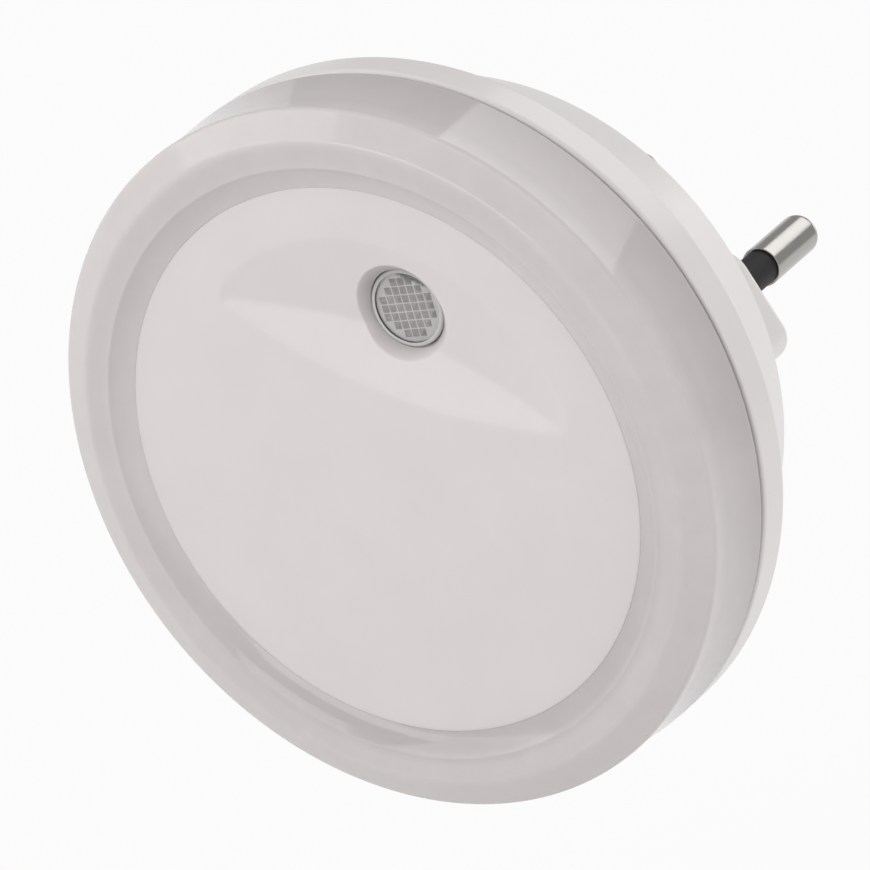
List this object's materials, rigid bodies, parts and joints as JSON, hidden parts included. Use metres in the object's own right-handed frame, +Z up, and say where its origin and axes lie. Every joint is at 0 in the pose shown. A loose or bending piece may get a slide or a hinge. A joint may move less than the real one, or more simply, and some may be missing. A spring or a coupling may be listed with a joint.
{
  "type": "plug in night light",
  "caption": "Round plug-in night light: white cover with a sunken light-sensor window, milky light ring, stepped rear dish and a flat two-pin plug boss.",
  "frame": {"origin": "centre of the plug boss's end face, which lies against the wall socket", "axes": "+Y into the wall along the plug, -Y out of the lit face, +Z up, +X to the right seen from the front"},
  "size_m": [0.068, 0.0643, 0.068],
  "materials": {
    "white_plastic": "satin",
    "cover_plastic": "satin",
    "diffuser": "polished",
    "clear_plastic": "polished",
    "grey_plastic": "matt",
    "reflector_white": "matt",
    "carrier_plastic": "matt",
    "sleeve_plastic": "satin",
    "plated_brass": "polished",
    "steel": "polished",
    "tinned_wire": "polished",
    "board_laminate": "satin",
    "cell_ceramic": "matt",
    "led_package": "satin",
    "black_epoxy": "matt",
    "film_box": "satin",
    "can_film": "satin",
    "resistor_grey": "matt",
    "resistor_tan": "matt",
    "diode_glass": "polished",
    "wire_brown": "satin",
    "wire_blue": "satin"
  },
  "bodies": {
    "root": {"rear_housing": "white_plastic", "front_cover": "cover_plastic", "light_ring": "diffuser", "sensor_lens": "clear_plastic", "sensor_shroud": "grey_plastic", "photocell": "cell_ceramic", "photocell_leads": "tinned_wire", "reflector": "reflector_white", "circuit_board": "board_laminate", "board_screws": "steel", "leds": "led_package", "chip_resistors": "black_epoxy", "dropper_capacitor": "film_box", "smoothing_capacitor": "can_film", "bridge_rectifier": "black_epoxy", "fusible_resistor": "resistor_grey", "discharge_resistor": "resistor_tan", "zener_diode": "diode_glass", "control_transistor": "black_epoxy", "pin_carrier": "carrier_plastic", "carrier_screws": "steel", "plug_pin_left": "plated_brass", "plug_pin_right": "plated_brass", "pin_sleeve_left": "sleeve_plastic", "pin_sleeve_right": "sleeve_plastic", "lead_left": "wire_brown", "lead_right": "wire_blue"}
  },
  "joints": []
}
